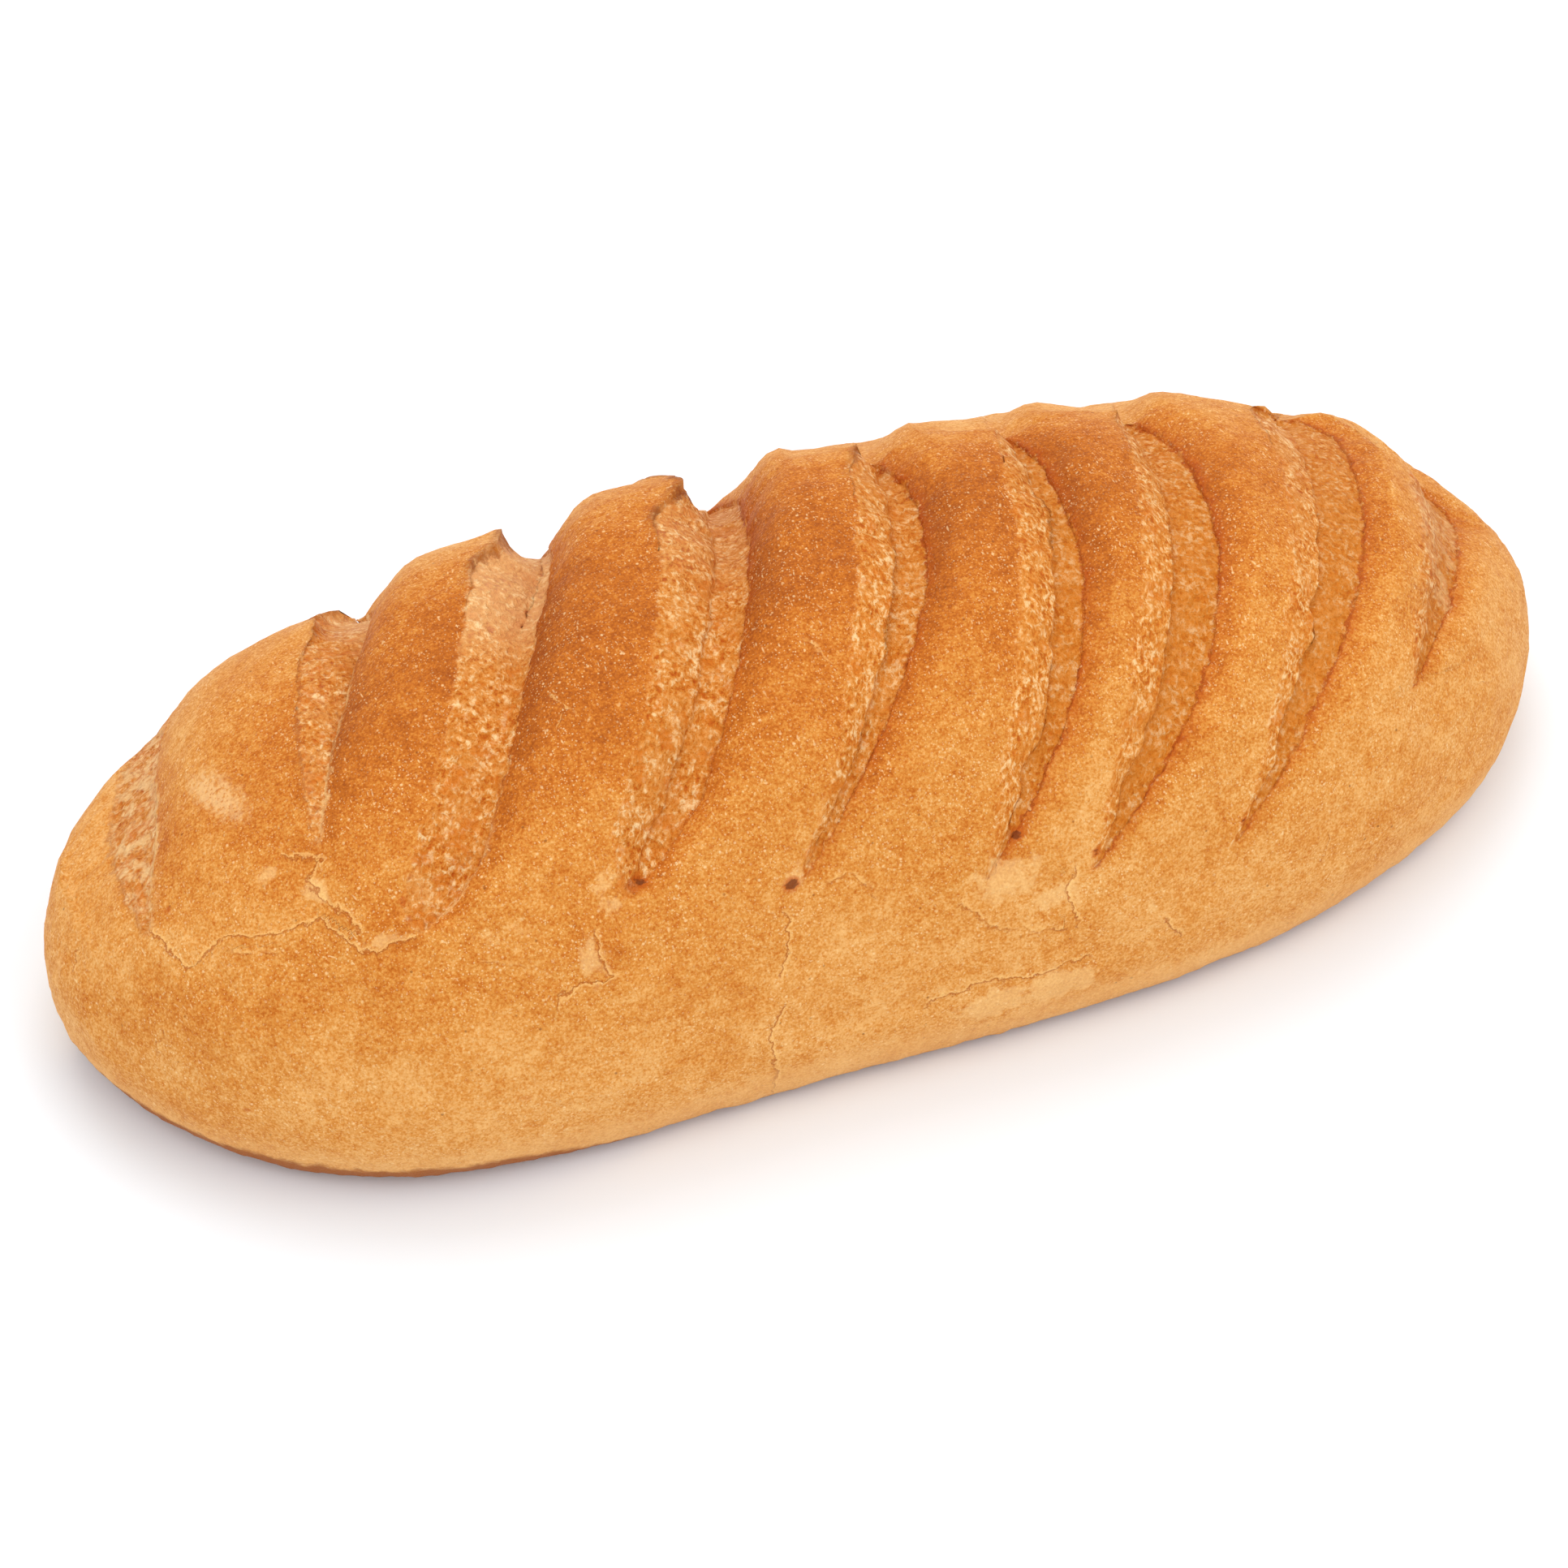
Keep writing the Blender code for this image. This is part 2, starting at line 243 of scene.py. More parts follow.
def ear_share(number, turn):
    """How far the crust curls up along a slash's left edge."""
    slash = SLASHES[number]
    grown = slash.ear * smooth(turn, *EAR_TURNS) * (0.75 + 0.5 * wander(turn, 0.008, 50 + number))
    return np.clip(grown, 0, 1.2)


def slash_height(number, turn, zone, share, gap):
    """Height over the plain form. share crosses a band and gap is a distance from the slash's edge."""
    slash = SLASHES[number]
    sunk = sunkenness(slash, turn)
    depth = slash.depth * sunk
    wide = smooth(openness(slash, turn), 0.0, 0.3)

    def flank(reach):
        near = np.clip(gap / reach, 0, 1)
        return wide * (1 - near) ** 2 + (1 - wide) * (1 - near * near) ** 2

    floor_drop = LIP_DROP + (FLOOR_DROP - LIP_DROP) * wide
    floor_end = LIP_DROP + (FLOOR_END - LIP_DROP) * wide
    bulge_drop = FLOOR_DROP - slash.cut * (FLOOR_DROP - BULGE_DROP)
    ear = EAR * ear_share(number, turn) * sunk
    closed = (1 - wide) * smooth(turn, *FOLD_TURNS)
    edge_drop = slash.roll + (np.maximum(CLOSED_DROP, slash.roll) - slash.roll) * closed
    rounding = edge_drop * depth * flank(slash.reach * (1 + closed))
    crust_left = ear * np.exp(-((gap / EAR_REACH) ** 2)) - rounding
    steep = smooth(turn, *STEEPENING)
    drop = np.maximum(bulge_drop, edge_drop) - edge_drop
    power = BULGE_POWERS[0] + (BULGE_POWERS[1] - BULGE_POWERS[0]) * steep
    bulging = -edge_drop * depth - 0.5 * ear - drop * depth * share**power
    hollow = FLOOR_HOLLOW * wide * np.sin(np.pi * share)
    spongy = -depth * (floor_drop + hollow - (floor_drop - floor_end) * share**1.5)
    crust_right = -LIP_DROP * depth * flank(slash.reach)
    return np.choose(zone, [crust_left, bulging, spongy, crust_right])


# %% [markdown]
# ## A sheet of dough
# The loaf is one closed skin, so we start from one flat grid and wrap it round, as one would wrap a sheet
# of dough: its rows run from tip to tip, and its columns go from the middle of the base up the front, over
# the top and down the back. Sculpting could shape it too, but a wrapped grid lets its columns follow the
# edges of the slashes exactly, so that torn edges come out sharp. Where a slash has closed, its columns
# spread out again to an even spacing.

# %% Rows and columns
BASE_ROWS = 4
TUCK_ROWS = 8
FRONT_ROWS = 192  # from the widest line in front to the turn DENSE_TO
BACK_ROWS = 40
DENSE_TO = math.radians(50)
END_COLUMNS = 24
LOBE_SHARES = (0.0, 0.2, 0.4, 0.58, 0.74, 0.87, 0.95, 1.0)  # from the middle of the left lobe to the edge
BULGE_SHARES = (0.0, 0.05, 0.12, 0.21, 0.31, 0.42, 0.53, 0.64, 0.75, 0.85, 0.94, 1.0)
SPONGE_SHARES = (0.0, 0.07, 0.18, 0.31, 0.44, 0.57, 0.7, 0.83, 0.93, 1.0)
FLANK_SHARES = (0.0, 0.03, 0.09, 0.18, 0.3, 0.44, 0.6, 0.8)  # from the edge to the right lobe's middle
GAPING = (  # a slash's number from 0, and from and to which turn its torn band hangs free over the crease
    (3, -37, -20), (4, -46, 2), (5, -16, 8), (6, -14, -4), (7, -46, -34),
)
HANG_FREE = 0.0010
HANG_BACK = 0.0003  # elsewhere the torn band lies that far back from the crease
HOLD_OPEN = (0.05, 0.30)  # columns let go of a slash as it closes between these
STRAY = 0.0004  # a column further off its own line than this takes the height of where it lies


def sheet_rows():
    """Each row's turn, tuck and spread, from the base's middle line all the way round."""
    side = math.pi / 2
    half = [(1.0, spread) for spread in np.linspace(0, 1, BASE_ROWS, endpoint=False)]
    half += [(math.sin(angle), 1.0) for angle in np.linspace(side, 0, TUCK_ROWS, endpoint=False)]
    front = np.linspace(-side, DENSE_TO, FRONT_ROWS, endpoint=False)
    back = np.linspace(DENSE_TO, side, BACK_ROWS)
    rows = [(-side, tuck, spread) for tuck, spread in half]
    rows += [(turn, 0.0, 1.0) for turn in np.append(front, back)]
    rows += [(side, tuck, spread) for tuck, spread in reversed(half)]
    return np.array(rows).T


def zones_at(x, left, crease, right):
    """Which zone a place lies in, its share of the band and its distance from the slash."""
    zone = np.select([x < left, x < crease, x < right], [CRUST_LEFT, BULGING, SPONGY], CRUST_RIGHT)
    bulging = (x - left) / (crease - left)
    spongy = (x - crease) / (right - crease)
    share = np.choose(zone, [0 * x, bulging, spongy, 0 * x])
    gap = np.choose(zone, [left - x, 0 * x, 0 * x, x - right])
    return zone, np.clip(share, 0, 1), gap


def slash_columns(number, turn, edges, start, end):
    """The x and height of the columns round one slash, which lies between the x's start and end."""
    left, crease, right = edges
    hold = smooth(sunkenness(SLASHES[number], turn), *HOLD_OPEN)
    wide = smooth(openness(SLASHES[number], turn), 0.1, 0.5)
    torn_free = 0 * turn
    for owner, low, high in GAPING:
        inward = np.minimum(turn - math.radians(low), math.radians(high) - turn)
        torn_free = np.maximum(torn_free, (owner == number) * smooth(inward, 0.0, 0.12))
    torn_free = torn_free * smooth(wander(turn, 0.010, 60 + number), -0.45, 0.15)
    hang = hold * wide * SLASHES[number].cut * (HANG_FREE * torn_free - HANG_BACK)
    columns = [(CRUST_LEFT, 0, start + share * (left - start)) for share in LOBE_SHARES]
    undercut = UNDERCUT * hold * wide * ear_share(number, turn)
    columns += [(BULGING, share, left - undercut * (share == 0) + share * (crease - left))
                for share in BULGE_SHARES[:-1]]
    columns += [(BULGING, 1.0, crease + hang)]
    columns += [(SPONGY, share, crease - hang * (share == 0) * 0.7 + share * (right - crease))
                for share in SPONGE_SHARES]
    columns += [(CRUST_RIGHT, 0, right + share * (end - right)) for share in FLANK_SHARES]
    found = []
    for index, (zone, share, x) in enumerate(columns):
        even = start + (end - start) * index / len(columns)
        place = hold * x + (1 - hold) * even
        gap = np.abs(x - (left if zone == CRUST_LEFT else right))
        kept = (zone + 0 * turn.astype(int), share + 0 * turn, gap)
        free = zones_at(place, *edges)
        trust = np.exp(-(((place - x) / STRAY) ** 2))
        height = trust * slash_height(number, turn, *kept) + (1 - trust) * slash_height(number, turn, *free)
        found.append((place, height))
    return found


turns, tucks, spreads = sheet_rows()
edges = [slash_edges(number, turns) for number in range(len(SLASHES))]
tip = LENGTH / 2 + 0 * turns
middles = [(edges[0][0] - tip) / 2]
middles += [(before[2] + after[0]) / 2 for before, after in zip(edges, edges[1:])]
middles += [(edges[-1][2] + tip) / 2]

columns = []  # x, height and the slash's number
for k in range(END_COLUMNS):
    x = -tip + (middles[0] + tip) * (1 - math.cos(math.pi / 2 * k / END_COLUMNS))
    columns.append((x, 0 * x, 0))
for number in range(len(SLASHES)):
    found = slash_columns(number, turns, edges[number], middles[number], middles[number + 1])
    columns += [column + (number,) for column in found]
for k in range(END_COLUMNS + 1):
    x = middles[-1] + (tip - middles[-1]) * math.sin(math.pi / 2 * k / END_COLUMNS)
    columns.append((x, 0 * x, len(SLASHES) - 1))
print("the sheet has", len(columns), "columns and", len(turns), "rows")


# %% [markdown]
# ## Wrapping the sheet
# A primitive grid has one vertex for each column and row. We move each vertex to its place on the plain
# form, and then along the form's direction out by its height. The sheet's two long edges meet under the
# loaf and its short edges shrink to the tips, so merging doubles will close it.

# %% The wrapped sheet
LOBE_EASING = 0.006  # the change from one lobe to the next reaches that far from the slash's middle


def lobe_rise(x, middle_places):
    """How far each lobe stands over or under the even form, eased from one lobe to the next."""
    rise = LOBE_RISES[0] + 0 * x
    for middle, before, after in zip(middle_places, LOBE_RISES, LOBE_RISES[1:]):
        rise = rise + (after - before) * smooth(x, middle - LOBE_EASING, middle + LOBE_EASING)
    return rise * smooth(LENGTH / 2 - np.abs(x), 0.0, 0.012)


def deselect():
    bpy.ops.object.select_all(action="DESELECT")


deselect()
bpy.ops.mesh.primitive_grid_add(x_subdivisions=len(columns) - 1, y_subdivisions=len(turns) - 1, size=1)
loaf = bpy.context.object
loaf.name = "bloomer_loaf"
flat = np.zeros(3 * len(loaf.data.vertices))
loaf.data.vertices.foreach_get("co", flat)
flat = flat.reshape(-1, 3) + 0.5
column_of = np.rint(flat[:, 0] * (len(columns) - 1)).astype(int)
row_of = np.rint(flat[:, 1] * (len(turns) - 1)).astype(int)

x_all = np.stack([column[0] for column in columns], axis=1)
height_all = np.stack([column[1] for column in columns], axis=1)
turn_all = turns[:, None] + 0 * x_all
tuck_all = tucks[:, None] + 0 * x_all
spread_all = spreads[:, None] + 0 * x_all
rising = np.cos(np.clip(turn_all, -math.pi / 2, math.pi / 2)).clip(0) ** 0.5 * (tuck_all == 0)
height_all = height_all + lobe_rise(x_all, [(left + right)[:, None] / 2 for left, _, right in edges])
places = plain_places(x_all, turn_all, tuck_all, spread_all)
places = places + (rising * height_all)[..., None] * outward(x_all, turn_all)
loaf.data.vertices.foreach_set("co", places[row_of, column_of].ravel())
loaf.data.update()
print("wrapped", len(loaf.data.vertices), "vertices")


# %% [markdown]
# ## Where each colour goes
# The oven browns the tops of the lobes most, the torn crumb least, and the thin edges of the crust almost
# black. We store these as attributes, one number for each vertex, which the materials read later. They
# ride with the mesh, so they stay right whatever the modifiers do. A UV map measures the bands across
# and along, because the crumb's fibres follow them.

# %% Distances from the torn edges
def edge_values(column):
    """For each row of a column: where it lies across the slash, in mm, and what the slash is like there."""
    x, _, number = column
    left, crease, right = edges[number]
    inside = np.minimum(x - left, right - x)
    return {
        "inside": 1000 * np.clip(inside, -0.008, 0.008),
        "past_crease": 1000 * np.clip(x - crease, -0.003, 0.003),
        "side": np.clip((x - left) / (right - left), 0, 1),
        "live": smooth(openness(SLASHES[number], turns), 0.0, 0.12),
        "cut": SLASHES[number].cut + 0 * x,
        "ear": np.maximum(ear_share(number, turns), SLASHES[number].step),
    }


BAKE_ALONG = (  # x in mm and how brown the crest is there
    (-160, 0.15), (-140, 0.2), (-120, 0.45), (-95, 0.85), (-60, 1.0), (5, 1.0), (20, 0.88), (60, 0.86),
    (85, 0.76), (115, 0.45), (140, 0.25), (160, 0.0),
)
BAKE_FRONT = ((-160, 0.3), (-130, 0.36), (-100, 0.45), (-60, 0.30), (-20, 0.08), (160, 0.0))  # and low in front
BAKE_CREST = math.radians(4)  # the turn at which the lobes are brownest
BAKE_REACH = math.radians(43)
BAKE_BEHIND = 1.7  # behind the crest the brown fades that much sooner
RIM = ((-85, 0.25), (-45, 0.3), (-15, 0.7), (15, 1.0))  # and how dark a line borders them on the right
RICH = ((-60, 0.0), (-20, 0.3), (20, 0.6), (50, 1.0))  # x in mm and how deep the right bands' orange is
PAINTED_SHEEN_ALONG = ((-90, 0.0), (-80, 1.0), (-45, 1.0), (-30, 0.4), (0, 0.0))  # and how strong the painted sheen on the crumb's top is there
SCUFF = (-0.1225, 0.035, 0.0125, 0.0034, -1.3)  # x, turn, half its length and width, and its slant
SCUFF_RADIUS = 0.060  # metres along the skin for each radian there

masks = {}
for index, column in enumerate(columns):
    for name, values in edge_values(column).items():
        masks.setdefault(name, np.zeros_like(x_all))[:, index] = values
masks["open_crumb"] = 1 - smooth(x_all, -0.098, -0.070)
masks["porous"] = np.maximum(masks["open_crumb"], 1.25 * smooth(x_all, 0.118, 0.130))
masks["porous"] = masks["porous"] + 0.6 * smooth(-x_all, 0.112, 0.128)
# painted sheen: a cream lightening of the crumb near the top, on the slashes left of the middle
masks["painted_sheen_crumb"] = smooth(turn_all, -0.05, 0.25) * np.interp(1000 * x_all, *zip(*PAINTED_SHEEN_ALONG))
masks["silky"] = smooth(x_all, -0.030, 0.010) * (1 - smooth(x_all, 0.110, 0.125))
masks["silky"] = masks["silky"] * (1 - smooth(turn_all, -0.4, 0.2))
masks["rim"] = np.interp(1000 * x_all, *zip(*RIM))
masks["rich"] = np.interp(1000 * x_all, *zip(*RICH)) * (1 - 0.5 * smooth(turn_all, -0.2, 0.5))
masks["torn"] = masks["live"] * smooth(masks["inside"], -0.1, 0.3)
along = np.interp(1000 * x_all, *zip(*BAKE_ALONG))
behind = np.where(turn_all > BAKE_CREST, BAKE_BEHIND, 1.0)
masks["bake"] = along * np.exp(-((behind * (turn_all - BAKE_CREST) / BAKE_REACH) ** 2)) * (tuck_all == 0)
low_front = smooth(-turn_all, 0.3, 0.8) * (1 - smooth(-turn_all, 0.9, 1.3))
masks["bake"] = np.maximum(masks["bake"], low_front * np.interp(1000 * x_all, *zip(*BAKE_FRONT)))
masks["tuck"] = tuck_all * (spread_all == 1)
masks["scorched_base"] = masks["tuck"] * (turn_all < 0) * (1 - smooth(x_all, -0.105, 0.0))
masks["sole"] = np.where(tuck_all == 1, 1.0, 0.0)
x, turn, long_half, short_half, slant = SCUFF
aside, onward = x_all - x, (turn - turn_all) * SCUFF_RADIUS
first = aside * math.cos(slant) - onward * math.sin(slant)
second = aside * math.sin(slant) + onward * math.cos(slant)
masks["scuff"] = np.exp(-((first / long_half) ** 2) - (second / short_half) ** 2)

# %% [markdown]
# ## Flaws of the skin
# A real crust has cracks, patches where a thin flake of skin came off and shows pale, and spots that caught
# the heat. Each is one row here: a place in millimetres along x and a turn in degrees, and a size. They
# could be painted by hand, but rows are easier to move. Noise in the material makes their outlines ragged.

# %% Pale patches, burnt spots and cracks
PALE = (  # x, turn, half length along x, half width, strength
    (-112, -30, 3, 4, 0.9), (-119, -22, 4, 3, 0.7), (-103, -44, 5, 2, 0.8), (-83, -50, 7, 3, 0.6),
    (-68, -60, 3, 6, 0.9), (-62, -52, 4, 4, 0.6), (-60, -48, 5, 4, 0.6), (-27, -58, 3, 3, 0.8),
    (14, -68, 9, 5, 0.9), (24, -73, 8, 4, 0.8), (44, -78, 2, 5, 0.6), (-2, -93, 8, 2, 0.9), (10, -91, 9, 3, 1.2),
    (24, -91, 8, 4, 1.2), (-142, -95, 12, 4, 0.8), (-128, -98, 10, 3, 0.8),
)
BURNT = (
    (-56, -50, 3.0, 1.5, 1.0), (-27.5, -59, 2.2, 1.5, 1.3), (18, -61, 2.0, 1.4, 1.1),
    (33, -67, 1.2, 1.0, 1.0), (65, -69, 1.0, 0.9, 1.0), (-98.5, -38, 0.9, 1.5, 1.0),
    (-98, -41.5, 1.2, 0.9, 0.9), (-138, -19, 1.0, 1.6, 0.8), (-106, -33, 1.6, 1.2, 0.5),
    (-87, -43, 1.5, 1.5, 0.5), (-134, -84, 1.2, 1.2, 0.7), (-85, -83, 3, 2, 0.5),
)
# each crack below is drawn as a pale lip, partly a painted highlight, beside a painted shadow line
CRACKS = (  # how plain each is, and the places it runs through
    (0.9, (-30, -63), (-29, -68), (-33, -74)), (1.0, (-33, -80), (-36, -85), (-35, -90)),
    (0.9, (-142, -23), (-138, -38), (-130, -33), (-123, -35), (-114, -36), (-110, -42), (-106, -46), (-98, -45)),
    (0.9, (-116, -20), (-110, -24), (-113, -27), (-111, -33), (-107, -41)), (0.6, (-132, -36), (-122, -40)),
    (0.9, (-66, -55), (-67, -60), (-64, -64), (-73, -63), (-76, -66)), (0.8, (-155, -11), (-156, -25)),
    (0.7, (-145, -58), (-147, -71)), (0.7, (-61, -13), (-58, -19)), (0.6, (-12, -19), (-8, -25)),
    (1.1, (46, -84), (50, -89)), (0.6, (-22, -61), (-16, -60), (-11, -66)), (0.5, (-88, -54), (-78, -58)),
    (0.7, (4, -70), (10, -76), (18, -78), (26, -80)), (0.8, (29, -68), (26, -73), (28, -80)),
    (0.5, (60, -72), (57, -80)), (0.5, (-20, -36), (-13, -40)), (0.5, (118, -30), (124, -38)),
    (0.5, (128, -62), (134, -66)), (0.6, (84, -78), (82, -85)), (0.9, (-4, -88), (8, -86), (18, -88), (30, -87)),
)
SIDE_RADIUS = 0.062  # metres along the skin for each radian where the flaws lie


def patches_at(table):
    found = 0 * x_all
    for x, turn, half_x, half_turn, strength in table:
        across = (1000 * x_all - x) / half_x
        onward = 1000 * SIDE_RADIUS * (turn_all - math.radians(turn)) / half_turn
        found = np.maximum(found, strength * np.exp(-(across**2) - onward**2))
    return found * (tuck_all < 0.3)


masks["pale"] = patches_at(PALE)
masks["burnt"] = patches_at(BURNT)
masks["crack_off"], masks["crack_on"] = 3.0 + 0 * x_all, 0 * x_all
for strength, *stops in CRACKS:
    flat_stops = [1000 * np.array([x / 1000, SIDE_RADIUS * math.radians(turn)]) for x, turn in stops]
    for start, stop in zip(flat_stops, flat_stops[1:]):
        run = stop - start
        length = np.hypot(*run)
        offset = 1000 * np.stack([x_all, SIDE_RADIUS * turn_all], axis=-1) - start
        onward = offset @ run / length
        aside = offset @ np.array([-run[1], run[0]]) / length
        on = strength * smooth(onward, -1.5, 0.5) * smooth(length - onward, -1.5, 0.5)
        on = on * smooth(3 - abs(aside), 0, 1.0)
        nearer = on > masks["crack_on"]
        masks["crack_off"] = np.where(nearer, aside, masks["crack_off"])
        masks["crack_on"] = np.where(nearer, on, masks["crack_on"])

for name, values in masks.items():
    attribute = loaf.data.attributes.new(name, "FLOAT", "POINT")
    attribute.data.foreach_set("value", values[row_of, column_of].ravel())
    print(name, "covers", round(float(values.mean()), 3))

middle_x = np.stack([(edges[c[-1]][0] + edges[c[-1]][2]) / 2 for c in columns], axis=1)
across = x_all - middle_x
onward = turn_all * DOME_RADIUS
uv_vertex = np.stack([across, onward], axis=-1)[row_of, column_of]
loop_vertex = np.zeros(len(loaf.data.loops), int)
loaf.data.loops.foreach_get("vertex_index", loop_vertex)
band_map = loaf.data.uv_layers.new(name="bands")
band_map.data.foreach_set("uv", uv_vertex[loop_vertex].ravel())

# %% [markdown]
# ## One closed skin
# The doubles along the sheet's long edges and at its tips are merged now, after the attributes and the UV
# map are in place, because both were worked out for the grid's own rows and columns.

# %% Closing the sheet
deselect()
loaf.select_set(True)
bpy.context.view_layer.objects.active = loaf
bpy.ops.object.mode_set(mode="EDIT")
bpy.ops.mesh.select_all(action="SELECT")
bpy.ops.mesh.remove_doubles(threshold=0.00001)
bpy.ops.mesh.normals_make_consistent(inside=False)
bpy.ops.object.mode_set(mode="OBJECT")
bpy.ops.object.shade_smooth()
print("closed, with", len(loaf.data.vertices), "vertices and", len(loaf.data.polygons), "faces")

# %% [markdown]
# ## Lumps, pimples and fibres
# Dough never rises evenly. Displace modifiers push the skin out and in along its normals by a procedural
# texture: slow lumps and ripples, small pimples on the crust and ragged tufts on the torn crumb. Vertex
# groups keep each where it belongs, and off the flat sole. They are applied, so that the relief is real
# and also shows on the outline.

# %% Displace modifiers
WEIGHT_STEPS = 50


def vertex_group(name, values):
    """A vertex group whose weights are given for each vertex, rounded to steps of a fiftieth."""
    group = loaf.vertex_groups.new(name=name)
    steps = np.rint(np.clip(values, 0, 1) * WEIGHT_STEPS).astype(int)
    for step in range(1, WEIGHT_STEPS + 1):
        indices = np.nonzero(steps == step)[0].tolist()
        if indices:
            group.add(indices, step / WEIGHT_STEPS, "REPLACE")


def read_attribute(name):
    values = np.zeros(len(loaf.data.vertices))
    loaf.data.attributes[name].data.foreach_get("value", values)
    return values


def displace(name, kind, pitch, strength, group, **settings):
    """Adds and applies one layer of relief."""
    texture = bpy.data.textures.new(name, kind)
    texture.noise_scale = pitch
    for setting, value in settings.items():
        setattr(texture, setting, value)
    modifier = loaf.modifiers.new(name, "DISPLACE")
    modifier.texture = texture
    modifier.texture_coords = "LOCAL"
    modifier.strength = strength
    modifier.mid_level = 0.5
    modifier.vertex_group = group
    bpy.ops.object.modifier_apply(modifier=name)


sole = read_attribute("sole")
torn = read_attribute("torn")
vertex_group("skin", (1 - sole) * (1 - torn))
vertex_group("crumb", (1 - sole) * torn)
vertex_group("above", 1 - sole)
displace("lumps", "CLOUDS", 0.030, 0.0016, "above", noise_depth=1)
displace("ripples", "CLOUDS", 0.007, 0.0009, "above", noise_depth=2)
displace("pimples", "CLOUDS", 0.0022, 0.00035, "skin", noise_depth=1)
displace("tufts", "CLOUDS", 0.0018, 0.0006, "crumb", noise_depth=2)
loaf.vertex_groups.clear()

heights = np.zeros(3 * len(loaf.data.vertices))
loaf.data.vertices.foreach_get("co", heights)
heights[2::3] = np.maximum(heights[2::3], 0.0)  # set down on the table
loaf.data.vertices.foreach_set("co", heights)
loaf.data.update()

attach(loaf, "root")
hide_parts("loaf")

# %% [markdown]
# ## Node helpers
# Materials are made of nodes. Small helpers keep the code short: put() adds a node and fills or links its
# sockets, calc() does the same for a Math node, times() multiplies any number of values, and stain() paints
# over a colour.


# %% Helpers for materials
def tone(red, green, blue):
    """A colour as a painter would name it, 0 to 255, made linear for the shader."""
    shares = [channel / 255 for channel in (red, green, blue)]
    return tuple(((s + 0.055) / 1.055) ** 2.4 if s > 0.04045 else s / 12.92 for s in shares) + (1.0,)


def put(tree, kind, inputs=None, **settings):
    made = tree.nodes.new(kind)
    for name, value in settings.items():
        setattr(made, name, value)
    for name, value in (inputs or {}).items():
        if isinstance(value, bpy.types.NodeSocket):
            tree.links.new(value, made.inputs[name])
        else:
            made.inputs[name].default_value = value
    return made


def calc(tree, operation, *values):
    return put(tree, "ShaderNodeMath", dict(enumerate(values)), operation=operation).outputs[0]


def times(tree, product, *factors):
    for factor in factors:
        product = calc(tree, "MULTIPLY", product, factor)
    return product


def soft_step(tree, value, low, high, to_low=0.0, to_high=1.0):
    inputs = {"Value": value, "From Min": low, "From Max": high, "To Min": to_low, "To Max": to_high}
    return put(tree, "ShaderNodeMapRange", inputs, interpolation_type="SMOOTHSTEP").outputs[0]


def mix_colour(tree, share, first, second):
    made = tree.nodes.new("ShaderNodeMix")
    made.data_type, made.clamp_factor = "RGBA", True
    for socket, value in ((made.inputs[0], share), (made.inputs[6], first), (made.inputs[7], second)):
        if isinstance(value, bpy.types.NodeSocket):
            tree.links.new(value, socket)
        else:
            socket.default_value = value
    return made.outputs[2]


def stain(tree, colour, paint, *shares):
    """The colour, painted over as far as the product of the shares says."""
    return mix_colour(tree, times(tree, *shares), colour, tone(*paint))


def noise_node(tree, vector, scale, detail=2.0, roughness=0.5):
    inputs = {"Vector": vector, "Scale": scale, "Detail": detail, "Roughness": roughness}
    return put(tree, "ShaderNodeTexNoise", inputs).outputs["Fac"]


def bend(tree, vector, place, scale, reach):
    """The vector, pushed about by noise."""
    warp = put(tree, "ShaderNodeTexNoise", {"Vector": place, "Scale": float(scale), "Detail": 1.0})
    away = put(tree, "ShaderNodeVectorMath", {0: warp.outputs["Color"], 1: (reach,) * 3}, operation="MULTIPLY")
    return put(tree, "ShaderNodeVectorMath", {0: vector, 1: away.outputs[0]}, operation="ADD").outputs[0]


def ramp(tree, value, stops):
    made = put(tree, "ShaderNodeValToRGB", {"Fac": value})
    elements = made.color_ramp.elements
    while len(elements) < len(stops):
        elements.new(0.5)
    for element, (place, colour) in zip(elements, stops):
        element.position, element.color = place, colour
    return made.outputs["Color"]


def new_group(name, inputs, outputs):
    """A shader node group with named sockets: (name, kind) pairs, where kind is Float, Color or Vector."""
    tree = bpy.data.node_groups.new(name, "ShaderNodeTree")
    for side, sockets in (("INPUT", inputs), ("OUTPUT", outputs)):
        for socket_name, kind in sockets:
            tree.interface.new_socket(socket_name, in_out=side, socket_type="NodeSocket" + kind)
    return tree, tree.nodes.new("NodeGroupInput").outputs, tree.nodes.new("NodeGroupOutput").inputs


def use_group(tree, group, inputs):
    return put(tree, "ShaderNodeGroup", inputs, node_tree=group).outputs


# %% [markdown]
# ## The baked skin
# Seen close, the crust isn't one brown: it is covered in tiny pale blisters, finer than a millimetre, on a
# ground that runs from pale gold where it baked least to chestnut where it baked most. The group takes
# how brown the place is and gives back a colour and a height. Only the most common blisters are raised,
# because a height is worked out three times for each point of a picture.

# %% Node group: baked skin
def speckles(tree, place, scale, size, chance):
    """Round spots of about size cells across, in that share of the cells."""
    cells = put(tree, "ShaderNodeTexVoronoi", {"Vector": place, "Scale": float(scale)})
    lucky = put(tree, "ShaderNodeSeparateColor", {"Color": cells.outputs["Color"]}).outputs[0]
    spot = soft_step(tree, cells.outputs["Distance"], size, 0.4 * size)
    return times(tree, spot, soft_step(tree, lucky, 1 - chance, 1.15 - chance))


